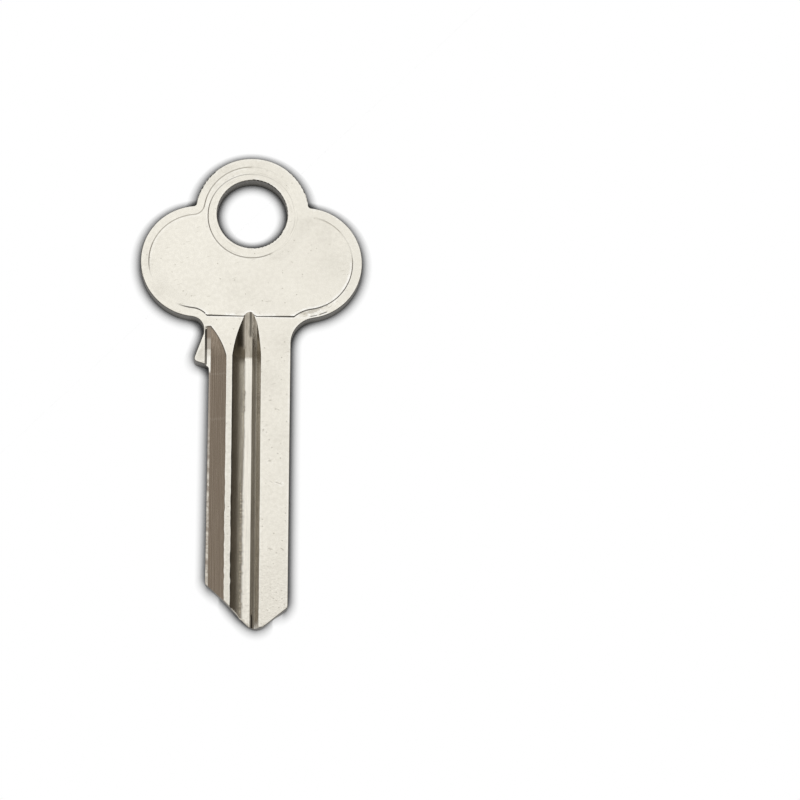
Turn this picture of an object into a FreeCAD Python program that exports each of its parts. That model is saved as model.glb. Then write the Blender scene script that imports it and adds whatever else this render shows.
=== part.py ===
import FreeCAD, Part
import math
import os

# Key blank for a pin tumbler cylinder, one piece of plated brass strip.
# Sizes in millimetres. The key lies on its back face, which is z = 0.
# The bow is toward +Y, the blade runs toward -Y, the bitting edge is on -X.
# The axis of the key ring hole is the Z axis of the frame.

Vector = FreeCAD.Vector
up = Vector(0, 0, 1)

# Strip
thickness = 2.1
front_edge_break = 0.1
back_edge_roll = 0.25

# Bow: a ring around the hole, over two lobes, all full circles in outline
hole_radius = 3.75
ring_wall = 2.28
ring_centre_y = 0.14
lobe_radius = 6.10
lobe_centre_x = 5.66
lobe_centre_y = -5.29
cusp_radius = 0.3
ring_radius = hole_radius + ring_wall
lobes_bottom_y = lobe_centre_y - lobe_radius

# Blade, by its two long edges
blade_bitting_x = -4.33
blade_back_x = 4.27

# Neck: a hollow fillet on each side between lobe and blade
neck_length = 1.76
neck_stop_side_width = 0.62
neck_stop_side_radius = 1.35
neck_back_side_radius = 2.8
neck_stop_side_x = blade_bitting_x - neck_stop_side_width

# Shoulder stop: a slope out to the nose, then a short hook back to the blade
stop_height = 1.69
stop_length = 2.97
stop_hook = 0.5
stop_slope_radius = 0.5
stop_nose_radius = 0.4
stop_root_radius = 0.35
stop_slope_top_y = lobes_bottom_y - neck_length
stop_nose_x = blade_bitting_x - stop_height
stop_nose_y = stop_slope_top_y - stop_length
shoulder_y = stop_nose_y - stop_hook

# Point of the blade, measured from the shoulder
bitting_edge_length = 23.1
back_edge_length = 25.59
point_length = 28.27
point_x = 0.98
point_radius = 1.5
point_bitting_radius = 0.2
point_back_radius = 0.45
point_bevel_width = 1.0
point_bevel_rise = 0.3
point_bitting_y = shoulder_y - bitting_edge_length
point_back_y = shoulder_y - back_edge_length
point_y = shoulder_y - point_length

# Stamped panels on the bow, with a raised ring left around the hole.
# The slot is the width of the panel between the outer rim and that ring.
panel_bottom_rise = 0.1
front_panel_depth = 0.06
front_panel_rim = 0.9
front_panel_slot = 0.56
front_panel_draft = 0.05
front_panel_shift_x = -0.08
front_ring_centre_y = -0.2
back_panel_depth = 0.15
back_panel_rim = 0.9
back_panel_slot = 0.53
back_panel_draft = 0.12
back_ring_centre_y = 0.0
panel_bottom_y = lobes_bottom_y + panel_bottom_rise

# Milled cuts run out of the point and rise out of the face at the bow end.
# They lie a quarter of a degree off the line of the blade.
run_out_start = 1.12
run_out_angle = 6.0
run_out_radius = 15.4
milling_skew = 0.25
run_out_y = shoulder_y + run_out_start

# Wide cut on the front, along the bitting edge, up to a ridge
wide_cut_depth = 0.68
wide_cut_overreach = 0.34
wide_cut_floor = 0.16
wide_cut_width = 1.83
ridge_width = 0.6

# Centre groove on the front, from the ridge to the plain land
centre_groove_depth = 1.2
centre_groove_ridge_flank = 1.35
centre_groove_floor = 0.75
centre_groove_step = 0.48
centre_groove_step_rise = 0.36
centre_groove_land_flank = 0.46

# Ledge and groove on the back, along the bitting edge
ledge_depth = 0.33
ledge_overreach = 0.37
ledge_width = 0.77
edge_groove_depth = 0.89
edge_groove_ledge_flank = 0.8
edge_groove_floor = 0.57
edge_groove_land_flank = 0.59

# Second groove on the back, along the back edge of the blade
back_rail_width = 0.67
land_groove_depth = 1.1
land_groove_rail_flank = 0.71
land_groove_floor = 0.95
land_groove_land_flank = 0.82

# How far cutting shapes reach past the metal, and how close counts as level
clear = 1.0
level_tolerance = 1e-6


def circle_meeting(first_centre, first_radius, second_centre, second_radius, upper):
    # one of the two points at these distances from the two centres
    between = second_centre - first_centre
    gap = between.Length
    along = (first_radius ** 2 - second_radius ** 2 + gap ** 2) / (2 * gap)
    across = math.sqrt(first_radius ** 2 - along ** 2)
    direction = between.normalize()
    side = Vector(-direction.y, direction.x, 0)
    first = first_centre + direction * along + side * across
    second = first_centre + direction * along - side * across
    if (first.y > second.y) == upper:
        return first
    return second


def toward(start, end, distance):
    return start + (end - start).normalize() * distance


def arc_about(centre, radius, start, end, through):
    # the arc from start to end that bulges toward the through direction
    middle = centre + (through - centre).normalize() * radius
    return Part.Arc(start, middle, end).toShape()


def rounded_corner(before, corner, after, radius):
    # tangent points and middle of the arc that rounds a corner
    into = (before - corner).normalize()
    out = (after - corner).normalize()
    half = into.getAngle(out) / 2
    reach = radius / math.tan(half)
    bisector = (into + out).normalize()
    centre = corner + bisector * (radius / math.sin(half))
    return corner + into * reach, centre - bisector * radius, corner + out * reach


def rounded_edges(points, radii):
    # straight edges through the points, with every inner corner rounded
    edges = []
    last = points[0]
    for before, corner, after, radius in zip(points, points[1:], points[2:], radii):
        start, middle, end = rounded_corner(before, corner, after, radius)
        edges.append(Part.LineSegment(last, start).toShape())
        edges.append(Part.Arc(start, middle, end).toShape())
        last = end
    edges.append(Part.LineSegment(last, points[-1]).toShape())
    return edges


def blank_outline():
    ring = Vector(0, ring_centre_y, 0)
    lobe_stop = Vector(-lobe_centre_x, lobe_centre_y, 0)
    lobe_back = Vector(lobe_centre_x, lobe_centre_y, 0)
    ring_reach = ring_radius + cusp_radius
    lobe_reach = lobe_radius + cusp_radius
    cusp_stop = circle_meeting(ring, ring_reach, lobe_stop, lobe_reach, True)
    cusp_back = circle_meeting(ring, ring_reach, lobe_back, lobe_reach, True)

    neck_stop_x = neck_stop_side_x - neck_stop_side_radius
    neck_stop_drop = lobe_radius + neck_stop_side_radius
    neck_stop_y = lobe_centre_y - math.sqrt(neck_stop_drop ** 2 - (neck_stop_x + lobe_centre_x) ** 2)
    neck_stop = Vector(neck_stop_x, neck_stop_y, 0)
    neck_back_x = blade_back_x + neck_back_side_radius
    neck_back_drop = lobe_radius + neck_back_side_radius
    neck_back_y = lobe_centre_y - math.sqrt(neck_back_drop ** 2 - (neck_back_x - lobe_centre_x) ** 2)
    neck_back = Vector(neck_back_x, neck_back_y, 0)

    ring_stop_end = toward(ring, cusp_stop, ring_radius)
    ring_back_end = toward(ring, cusp_back, ring_radius)
    lobe_stop_start = toward(lobe_stop, cusp_stop, lobe_radius)
    lobe_back_start = toward(lobe_back, cusp_back, lobe_radius)
    lobe_stop_end = toward(lobe_stop, neck_stop, lobe_radius)
    lobe_back_end = toward(lobe_back, neck_back, lobe_radius)
    neck_stop_end = Vector(neck_stop_side_x, neck_stop_y, 0)
    neck_back_end = Vector(blade_back_x, neck_back_y, 0)

    bow = [
        arc_about(ring, ring_radius, ring_back_end, ring_stop_end, ring + Vector(0, 1, 0)),
        arc_about(cusp_stop, cusp_radius, ring_stop_end, lobe_stop_start, Vector(0, 0, 0)),
        arc_about(lobe_stop, lobe_radius, lobe_stop_start, lobe_stop_end, lobe_stop - Vector(1, 0, 0)),
        arc_about(neck_stop, neck_stop_side_radius, lobe_stop_end, neck_stop_end,
                  (lobe_stop_end + neck_stop_end) / 2),
    ]
    blade_points = [
        neck_stop_end,
        Vector(neck_stop_side_x, stop_slope_top_y, 0),
        Vector(stop_nose_x, stop_nose_y, 0),
        Vector(blade_bitting_x, shoulder_y, 0),
        Vector(blade_bitting_x, point_bitting_y, 0),
        Vector(point_x, point_y, 0),
        Vector(blade_back_x, point_back_y, 0),
        neck_back_end,
    ]
    blade_radii = [
        stop_slope_radius,
        stop_nose_radius,
        stop_root_radius,
        point_bitting_radius,
        point_radius,
        point_back_radius,
    ]
    back = [
        arc_about(neck_back, neck_back_side_radius, neck_back_end, lobe_back_end,
                  (lobe_back_end + neck_back_end) / 2),
        arc_about(lobe_back, lobe_radius, lobe_back_end, lobe_back_start, lobe_back + Vector(1, 0, 0)),
        arc_about(cusp_back, cusp_radius, lobe_back_start, ring_back_end, Vector(0, 0, 0)),
    ]
    return Part.Wire(bow + rounded_edges(blade_points, blade_radii) + back)


def edges_in_plane(shape, z):
    # edges that lie wholly in the plane at height z
    return [edge for edge in shape.Edges
            if abs(edge.BoundBox.ZMin - z) < level_tolerance
            and abs(edge.BoundBox.ZMax - z) < level_tolerance]


def stamped_blank(outline):
    # the outer edge is rolled on the back, and the hole is punched after that
    blank = Part.Face(outline).extrude(up * thickness)
    blank = blank.makeFillet(back_edge_roll, edges_in_plane(blank, 0))
    hole = Part.makeCylinder(hole_radius, thickness + 2 * clear, Vector(0, 0, -clear))
    blank = blank.cut(hole)
    return blank.makeFillet(front_edge_break, edges_in_plane(blank, thickness))


def panel_tool(outline, rim, slot, depth, draft, ring_y):
    # the shape pressed into a face at z = 0, working downward into z < 0
    ring = ring_radius - rim - slot
    inner = outline.makeOffset2D(-rim)
    span = lobe_centre_x + lobe_radius
    height = ring_radius + ring_centre_y - panel_bottom_y
    frame = Part.makeBox(2 * span, height, depth + clear, Vector(-span, panel_bottom_y, -depth))
    tool = Part.Face(inner).extrude(up * (depth + clear)).translated(up * -depth).common(frame)
    tool = tool.cut(Part.makeCylinder(ring, depth + clear, Vector(0, ring_y, -depth)))
    return tool.makeChamfer(depth, draft, edges_in_plane(tool, -depth))


def run_out_rise(distance):
    # height gained at this distance past the start of the run-out
    slope = math.radians(run_out_angle)
    centre_y = -run_out_radius * math.sin(slope)
    centre_z = run_out_radius * math.cos(slope)
    return centre_z - math.sqrt(run_out_radius ** 2 - (distance - centre_y) ** 2)


def run_out_reach(rise):
    # distance past the start of the run-out at which this height is gained
    slope = math.radians(run_out_angle)
    centre_z = run_out_radius * math.cos(slope)
    return math.sqrt(run_out_radius ** 2 - (centre_z - rise) ** 2) - run_out_radius * math.sin(slope)


def stepped(start, steps):
    # points (x, depth) from a start and the (width, depth) of each step after it
    points = [start]
    for width, depth in steps:
        points.append((points[-1][0] + width, depth))
    return points


def milled_cut(floor_points, depth):
    # a cut into a face at z = 0, given by points (x, depth below the face)
    # the same section is carried straight along the blade and then up an arc
    first_x = floor_points[0][0]
    last_x = floor_points[-1][0]
    section = [Vector(x, run_out_y, -below) for x, below in floor_points]
    section.append(Vector(last_x, run_out_y, clear))
    section.append(Vector(first_x, run_out_y, clear))
    loop = section + [section[0]]
    straight = Part.Face(Part.makePolygon(loop)).extrude(Vector(0, point_y - clear - run_out_y, 0))

    rise = depth + clear
    reach = run_out_reach(rise)
    middle = Vector(0, reach / 2, run_out_rise(reach / 2))
    end = Vector(0, reach, rise)
    faces = [Part.Face(Part.makePolygon(loop))]
    faces.append(Part.Face(Part.makePolygon([point + end for point in loop])))
    for point, following in zip(loop, loop[1:]):
        path = Part.Arc(point, point + middle, point + end).toShape()
        faces.append(path.extrude(following - point))
    shell = Part.makeShell(faces)
    shell.sewShape()
    arc_part = Part.makeSolid(shell)
    if arc_part.Volume < 0:
        arc_part.reverse()
    tool = straight.fuse(arc_part).removeSplitter()
    return tool.rotated(Vector(0, run_out_y, 0), up, milling_skew)


def to_front(tool):
    return tool.translated(up * thickness)


def to_back(tool):
    # the same tool worked from below, with x kept as it is
    return tool.mirror(Vector(0, 0, 0), up)


def wide_cut():
    wall_x = blade_bitting_x - wide_cut_overreach
    return milled_cut([
        (wall_x, 0),
        (wall_x, wide_cut_depth),
        (blade_bitting_x + wide_cut_floor, wide_cut_depth),
        (blade_bitting_x + wide_cut_width, 0),
    ], wide_cut_depth)


def centre_groove():
    start = (blade_bitting_x + wide_cut_width + ridge_width, 0)
    return milled_cut(stepped(start, [
        (centre_groove_ridge_flank, centre_groove_depth),
        (centre_groove_floor, centre_groove_depth),
        (centre_groove_step, centre_groove_depth - centre_groove_step_rise),
        (centre_groove_land_flank, 0),
    ]), centre_groove_depth)


def edge_groove():
    wall_x = blade_bitting_x - ledge_overreach
    return milled_cut(stepped((wall_x, 0), [
        (0, ledge_depth),
        (ledge_overreach + ledge_width, ledge_depth),
        (edge_groove_ledge_flank, edge_groove_depth),
        (edge_groove_floor, edge_groove_depth),
        (edge_groove_land_flank, 0),
    ]), edge_groove_depth)


def land_groove():
    start = (blade_back_x - back_rail_width, 0)
    return milled_cut(stepped(start, [
        (-land_groove_rail_flank, land_groove_depth),
        (-land_groove_floor, land_groove_depth),
        (-land_groove_land_flank, 0),
    ]), land_groove_depth)


def point_bevel(start, end):
    # a shallow wedge taken off the back along one slope of the point
    along = (end - start).normalize()
    inward = Vector(-along.y, along.x, 0)
    section = [
        start + inward * point_bevel_width,
        start + up * point_bevel_rise,
        start - inward * clear + up * (point_bevel_rise * (1 + clear / point_bevel_width)),
        start - inward * clear - up * clear,
        start + inward * point_bevel_width - up * clear,
    ]
    section = [point - along * clear for point in section]
    length = (end - start).Length + 2 * clear
    return Part.Face(Part.makePolygon(section + [section[0]])).extrude(along * length)


outline = blank_outline()
key = stamped_blank(outline)
front_panel = panel_tool(outline, front_panel_rim, front_panel_slot, front_panel_depth,
                         front_panel_draft, front_ring_centre_y)
back_panel = panel_tool(outline, back_panel_rim, back_panel_slot, back_panel_depth,
                        back_panel_draft, back_ring_centre_y)
point_low = Vector(point_x, point_y, 0)
key = key.cut(to_front(front_panel).translated(Vector(front_panel_shift_x, 0, 0)))
key = key.cut(to_back(back_panel))
key = key.cut(point_bevel(Vector(blade_bitting_x, point_bitting_y, 0), point_low))
key = key.cut(point_bevel(point_low, Vector(blade_back_x, point_back_y, 0)))
key = key.cut(to_front(wide_cut()))
key = key.cut(to_front(centre_groove()))
key = key.cut(to_back(edge_groove()))
key = key.cut(to_back(land_groove()))
key = key.removeSplitter()

os.makedirs("parts", exist_ok=True)
solid = key.Solids[0]
solid.exportStep("parts/key_blank.step")
box = solid.optimalBoundingBox()
print("solids", len(key.Solids), "valid", solid.isValid(), "volume", round(solid.Volume, 1))
print("size", round(box.XLength, 3), round(box.YLength, 3), round(box.ZLength, 3), "lowest", round(box.ZMin, 4))
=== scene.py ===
import math

import bpy
import numpy as np
from mathutils import Matrix, Vector
from mathutils.geometry import delaunay_2d_cdt
from mathutils.kdtree import KDTree


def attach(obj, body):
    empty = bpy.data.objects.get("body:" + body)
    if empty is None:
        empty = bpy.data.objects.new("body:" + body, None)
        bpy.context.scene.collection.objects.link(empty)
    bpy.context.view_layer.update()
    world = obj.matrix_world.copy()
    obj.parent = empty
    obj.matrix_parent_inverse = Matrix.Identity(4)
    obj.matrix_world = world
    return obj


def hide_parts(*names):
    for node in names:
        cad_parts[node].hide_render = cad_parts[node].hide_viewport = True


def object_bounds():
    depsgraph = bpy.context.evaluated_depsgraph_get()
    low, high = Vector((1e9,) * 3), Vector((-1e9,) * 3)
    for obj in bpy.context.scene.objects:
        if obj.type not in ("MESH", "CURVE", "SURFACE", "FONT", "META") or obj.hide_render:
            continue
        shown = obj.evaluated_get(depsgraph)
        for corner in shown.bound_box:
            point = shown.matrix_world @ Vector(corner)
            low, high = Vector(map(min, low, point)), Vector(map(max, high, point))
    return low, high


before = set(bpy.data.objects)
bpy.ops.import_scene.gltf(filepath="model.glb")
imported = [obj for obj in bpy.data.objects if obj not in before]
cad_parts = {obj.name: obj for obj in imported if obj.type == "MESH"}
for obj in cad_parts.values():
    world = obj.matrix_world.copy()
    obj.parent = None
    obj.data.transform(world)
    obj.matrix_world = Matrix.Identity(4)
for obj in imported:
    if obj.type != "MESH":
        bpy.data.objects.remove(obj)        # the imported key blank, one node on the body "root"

millimetre = 0.001
scene = bpy.context.scene
cadLow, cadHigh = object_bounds()
print("frame loaded, size in mm", [round((b - a) / millimetre, 2) for a, b in zip(cadLow, cadHigh)])


# The camera stands over the blade, a little to the tip side, and looks down on the key
cameraSetup = {
    "targetX": 0.0158215,
    "targetY": -0.0200471,
    "distance": 0.299938,
    "tiltDegrees": 12.5315,
    "panDegrees": 3.3503,
    "rollDegrees": 0.1731,
    "lens": 128.083,
    "sensor": 36.0,
}


def makeCamera(setup, targetHeight):
    tilt = math.radians(setup["tiltDegrees"])
    pan = math.radians(setup["panDegrees"])
    roll = math.radians(setup["rollDegrees"])
    forward = Vector((math.sin(pan), math.sin(tilt), -math.cos(tilt))).normalized()
    right = forward.cross(Vector((0, 1, 0))).normalized()
    upward = right.cross(forward)
    rolledRight = math.cos(roll) * right + math.sin(roll) * upward
    rolledUp = -math.sin(roll) * right + math.cos(roll) * upward
    data = bpy.data.cameras.new("keyCamera")
    data.lens = setup["lens"]
    data.sensor_width = setup["sensor"]
    data.clip_start = 0.01
    data.clip_end = 100
    camera = bpy.data.objects.new("keyCamera", data)
    scene.collection.objects.link(camera)
    target = Vector((setup["targetX"], setup["targetY"], targetHeight))
    turned = Matrix((rolledRight, rolledUp, -forward)).transposed().to_4x4()
    camera.matrix_world = Matrix.Translation(target - forward * setup["distance"]) @ turned
    scene.camera = camera


makeCamera(cameraSetup, cadHigh.z)
scene.view_settings.view_transform = "Standard"
print("camera set")


# Small helpers for node trees
def addNode(tree, kind, **settings):
    node = tree.nodes.new(kind)
    for name, value in settings.items():
        if name in node.inputs:
            node.inputs[name].default_value = value
        else:
            setattr(node, name, value)
    return node


def setStops(ramp, stops):
    # fills a colour ramp with (position, colour) stops
    elements = ramp.color_ramp.elements
    while len(elements) < len(stops):
        elements.new(0.5)
    for element, (position, color) in zip(elements, stops):
        element.position = position
        element.color = color


def feed(tree, socket, value):
    # the value is a number, a colour or the socket of another node
    if isinstance(value, bpy.types.NodeSocket):
        tree.links.new(value, socket)
    else:
        socket.default_value = value


# The next four give back the socket that holds their result
def calc(tree, operation, first, second=0.0):
    node = addNode(tree, "ShaderNodeMath", operation=operation)
    feed(tree, node.inputs[0], first)
    feed(tree, node.inputs[1], second)
    return node.outputs[0]


def times(tree, first, *others):
    result = first
    for other in others:
        result = calc(tree, "MULTIPLY", result, other)
    return result


def spread(tree, value, fromLow, fromHigh, toLow=0.0, toHigh=1.0, soft=True):
    node = addNode(tree, "ShaderNodeMapRange", interpolation_type="SMOOTHSTEP" if soft else "LINEAR")
    for socket, number in zip(node.inputs, (value, fromLow, fromHigh, toLow, toHigh)):
        feed(tree, socket, number)
    return node.outputs[0]


def blend(tree, factor, first, second):
    node = addNode(tree, "ShaderNodeMix", data_type="RGBA")
    feed(tree, node.inputs["Factor"], factor)
    feed(tree, node.inputs[6], first)
    feed(tree, node.inputs[7], second)
    return node.outputs[2]


# Studio light: one soft bright panel behind the bow, a dark card on each side of it, and a pale room
studio = {
    "panelColor": (1.0, 0.998, 0.995),
    "panelStrength": 1.0,
    "panelStart": 0.045,      # the value of y at which the panel begins
    "panelSoft": 0.05,
    "panelLeft": (-0.62, -0.42),      # where its sides start and where they are full
    "panelRight": (0.86, 0.28),
    "hotSpot": 0.14,          # how much brighter the panel is at its middle
    "hotSpotX": -0.045,
    "hotSpotY": 0.265,
    "hotSpotReach": 0.10,
    "cardFrom": 0.02,         # the cards stand between these two values of y, and reach over the top
    "cardTo": 0.42,
    "cardSoft": 0.12,
    "cardStops": (            # height and colour
        (0.0, (0.06, 0.053, 0.043, 1)), (0.15, (0.09, 0.08, 0.065, 1)), (0.3, (0.26, 0.24, 0.21, 1)),
        (0.62, (0.38, 0.35, 0.32, 1)), (1.0, (0.62, 0.60, 0.57, 1)),
    ),
    "fillColor": (0.74, 0.72, 0.69, 1.0),
}


def makeWorld(setup):
    world = bpy.data.worlds.new("studio")
    scene.world = world
    world.use_nodes = True
    tree = world.node_tree
    tree.nodes.clear()
    where = addNode(tree, "ShaderNodeTexCoord").outputs["Generated"]
    parts = addNode(tree, "ShaderNodeSeparateXYZ")
    feed(tree, parts.inputs[0], where)
    x, y, z = parts.outputs

    # the bright panel
    onPanel = spread(tree, y, setup["panelStart"], setup["panelStart"] + setup["panelSoft"])
    for side in ("panelLeft", "panelRight"):
        onPanel = times(tree, onPanel, spread(tree, x, *setup[side]))
    flat = addNode(tree, "ShaderNodeVectorMath", operation="MULTIPLY")
    flat.inputs[1].default_value = (1, 1, 0)
    feed(tree, flat.inputs[0], where)
    spot = addNode(tree, "ShaderNodeVectorMath", operation="DISTANCE")
    spot.inputs[1].default_value = (setup["hotSpotX"], setup["hotSpotY"], 0)
    feed(tree, spot.inputs[0], flat.outputs[0])
    strength = setup["panelStrength"]
    fromSpot = spot.outputs["Value"]
    glow = spread(tree, fromSpot, setup["hotSpotReach"], 0.0, strength, strength + setup["hotSpot"])
    panel = addNode(tree, "ShaderNodeVectorMath", operation="SCALE")
    panel.inputs[0].default_value = setup["panelColor"]
    feed(tree, panel.inputs["Scale"], glow)

    # the cards, and the pale room before and beyond them
    cards = addNode(tree, "ShaderNodeValToRGB")
    setStops(cards, setup["cardStops"])
    feed(tree, cards.inputs[0], z)
    before = spread(tree, y, setup["cardFrom"], setup["cardFrom"] - setup["cardSoft"])
    beyond = spread(tree, y, setup["cardTo"], setup["cardTo"] + setup["cardSoft"])
    room = blend(tree, calc(tree, "MAXIMUM", before, beyond), cards.outputs[0], setup["fillColor"])

    back = addNode(tree, "ShaderNodeBackground", Strength=1.0)
    feed(tree, back.inputs["Color"], blend(tree, onPanel, room, panel.outputs[0]))
    feed(tree, addNode(tree, "ShaderNodeOutputWorld").inputs[0], back.outputs[0])


makeWorld(studio)
print("studio light set")


# Floor: white paper under the key, with the key's own soft shadow close around it
floorSetup = {
    "halfSize": 4.0,
    "color": (0.9, 0.9, 0.9, 1.0),
    "shadowReach": 0.00125,
    "shadowLeans": (-0.74, -0.14),    # radians along the blade: the darker of the two is kept
    "shadowCurve": (                  # how open the floor is around a place, and how white it stays
        (0.5, 0.03), (0.6, 0.16), (0.7, 0.41), (0.85, 0.745), (1.0, 1.0),
    ),
}


def makeFloor(setup):
    half = setup["halfSize"]
    mesh = bpy.data.meshes.new("floor")
    corners = [(-half, -half, 0), (half, -half, 0), (half, half, 0), (-half, half, 0)]
    mesh.from_pydata(corners, [], [(0, 1, 2, 3)])
    floor = bpy.data.objects.new("floor", mesh)
    scene.collection.objects.link(floor)
    material = bpy.data.materials.new("paper")
    material.use_nodes = True
    tree = material.node_tree
    tree.nodes.clear()

    # how open the floor is around each place, seen along two leaning directions
    darker = addNode(tree, "ShaderNodeMath", operation="MINIMUM")
    for lean, socket in zip(setup["shadowLeans"], darker.inputs):
        near = addNode(tree, "ShaderNodeAmbientOcclusion", samples=16, Distance=setup["shadowReach"])
        leaning = addNode(tree, "ShaderNodeCombineXYZ", X=0.0, Y=math.sin(lean), Z=math.cos(lean))
        feed(tree, near.inputs["Normal"], leaning.outputs[0])
        feed(tree, socket, near.outputs["AO"])
    shade = addNode(tree, "ShaderNodeValToRGB")
    setStops(shade, [(open, (left, left, left, 1)) for open, left in setup["shadowCurve"]])
    feed(tree, shade.inputs[0], darker.outputs[0])

    # white where it is seen, plain paper where it only passes light on
    white = addNode(tree, "ShaderNodeEmission", Strength=1.0)
    feed(tree, white.inputs["Color"], shade.outputs[0])
    paper = addNode(tree, "ShaderNodeBsdfDiffuse", Color=setup["color"])
    ray = addNode(tree, "ShaderNodeLightPath").outputs
    seen = calc(tree, "MAXIMUM", ray["Is Camera Ray"], ray["Is Glossy Ray"])
    seen = calc(tree, "MAXIMUM", seen, ray["Is Transmission Ray"])
    mixed = addNode(tree, "ShaderNodeMixShader")
    for socket, source in zip(mixed.inputs, (seen, paper.outputs[0], white.outputs[0])):
        feed(tree, socket, source)
    feed(tree, addNode(tree, "ShaderNodeOutputMaterial").inputs[0], mixed.outputs[0])
    mesh.materials.append(material)


makeFloor(floorSetup)
print("floor laid")


# The key's own mesh: every facet of the frame's solid, divided finely and rounded where the solid is round
meshSetup = {
    "spacing": 0.19,          # mm between points
    "edgeSpacing": 1.2,       # the same along edges, as a share of it
    "jitter": 0.2,            # share of the spacing by which a point may stray
    "keepClear": 0.6,         # share of the spacing left free beside an edge
    "flatCosine": 0.9999995,  # facets nearer to parallel than this lie in one plane
    "smoothCosine": 0.985,    # normals nearer than this belong to one curved surface
    "curvedCosine": 0.99999,  # a facet whose normals stray further than this is part of a round surface
    "thinnest": 1e-5,         # a triangle on the border flatter than this lies outside it
    "sharpDegrees": 14.0,
    "seed": 7,
}


def readSolid(node):
    # corner places in mm, triangles, and the normal of the solid's surface at each of their corners
    mesh = node.data
    mesh.calc_loop_triangles()
    corners = np.zeros(len(mesh.vertices) * 3)
    mesh.vertices.foreach_get("co", corners)
    corners = corners.reshape(-1, 3) / millimetre
    loops = np.zeros(len(mesh.loop_triangles) * 3, int)
    mesh.loop_triangles.foreach_get("loops", loops)
    loopVertex = np.zeros(len(mesh.loops), int)
    mesh.loops.foreach_get("vertex_index", loopVertex)
    normals = np.zeros(len(mesh.loops) * 3)
    mesh.corner_normals.foreach_get("vector", normals)
    normals = normals.reshape(-1, 3)[loops].reshape(-1, 3, 3)
    places, which = np.unique(np.round(corners, 5), axis=0, return_inverse=True)
    triangles = which.reshape(-1)[loopVertex[loops]].reshape(-1, 3)
    whole = (triangles[:, 0] != triangles[:, 1]) & (triangles[:, 1] != triangles[:, 2])
    whole &= triangles[:, 0] != triangles[:, 2]
    return places, triangles[whole], normals[whole]


def edgesOf(triangle):
    return [tuple(sorted((int(triangle[k]), int(triangle[(k + 1) % 3])))) for k in range(3)]


def facetsOf(places, triangles, flatCosine):
    # groups of joined triangles that lie in one plane, the largest triangle first
    a, b, c = (places[triangles[:, k]] for k in range(3))
    cross = np.cross(b - a, c - a)
    size = np.linalg.norm(cross, axis=1)
    facing = cross / np.maximum(size, 1e-12)[:, None]
    beside = {}
    for index, triangle in enumerate(triangles):
        for edge in edgesOf(triangle):
            beside.setdefault(edge, []).append(index)
    group = np.full(len(triangles), -1)
    facets = []
    for start in np.argsort(-size):
        if group[start] >= 0:
            continue
        members = [int(start)]
        group[start] = len(facets)
        for current in members:
            for edge in edgesOf(triangles[current]):
                for other in beside[edge]:
                    if group[other] < 0 and facing[other] @ facing[start] > flatCosine:
                        group[other] = len(facets)
                        members.append(other)
        facets.append((members, facing[start]))
    return facets, group, beside


def standOff(point, weights, corners, normals):
    # how far a round surface with these normals at its corners stands off its facet here
    total = np.zeros(3)
    for weight, corner, normal in zip(weights, corners, normals):
        total -= weight * ((point - corner) @ normal) * normal
    return total / 2


def edgeStandOff(point, weights, corners, sides, smoothCosine):
    # the same on an edge, where two surfaces may meet at an angle
    first, second = (standOff(point, weights, corners, side) for side in sides)
    one, two = (side[0] + side[1] for side in sides)
    one = one / np.linalg.norm(one)
    two = two / np.linalg.norm(two)
    cosine = one @ two
    if abs(cosine) > smoothCosine:
        return (first + second) / 2
    rise = np.linalg.solve([[1, cosine], [cosine, 1]], [first @ one, second @ two])
    met = rise[0] * one + rise[1] * two
    most = 2 * max(np.linalg.norm(first), np.linalg.norm(second))
    met *= min(1, most / max(np.linalg.norm(met), 1e-12))
    if abs(corners[0][2] - corners[1][2]) < 1e-4:
        met[2] = 0
    return met


def insideRows(rows, starts, ends):
    # for each row of points (height, positions), which of them lie inside the closed edges
    kept = []
    for height, positions in rows:
        crossing = (starts[:, 1] > height) != (ends[:, 1] > height)
        a, b = starts[crossing], ends[crossing]
        at = np.sort(a[:, 0] + (height - a[:, 1]) / (b[:, 1] - a[:, 1]) * (b[:, 0] - a[:, 0]))
        inside = np.searchsorted(at, positions) % 2 == 1
        kept.append(np.stack([positions[inside], np.full(inside.sum(), height)], 1))
    return np.concatenate(kept) if kept else np.zeros((0, 2))


def denseMesh(node, setup):
    rng = np.random.default_rng(setup["seed"])
    places, triangles, normals = readSolid(node)
    facets, group, beside = facetsOf(places, triangles, setup["flatCosine"])
    spacing = setup["spacing"]
    points = [place for place in places]
    chains = {}
    for edge, sides in beside.items():
        if len(sides) == 2 and group[sides[0]] == group[sides[1]]:
            continue
        corners = places[list(edge)]
        count = math.ceil(np.linalg.norm(corners[1] - corners[0]) / (spacing * setup["edgeSpacing"]))
        chain = [edge[0]]
        cornerNormals = [[normals[side][list(triangles[side]).index(end)] for end in edge] for side in sides]
        for step in range(1, count):
            share = step / count
            point = corners[0] + (corners[1] - corners[0]) * share
            lift = edgeStandOff(point, (1 - share, share), corners, cornerNormals, setup["smoothCosine"])
            chain.append(len(points))
            points.append((point, lift))
        chain.append(edge[1])
        chains[edge] = chain
    faces = []
    for members, facing in facets:
        outline = []
        for member in members:
            for edge in edgesOf(triangles[member]):
                if edge in chains:
                    outline.append(chains[edge])
        addFacet(points, faces, places, triangles, normals, members, facing, outline, setup, rng)
    lifted = np.array([p if isinstance(p, np.ndarray) else p[0] + p[1] for p in points])
    return np.clip(lifted, places.min(0), places.max(0)), np.array(faces)


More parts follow.
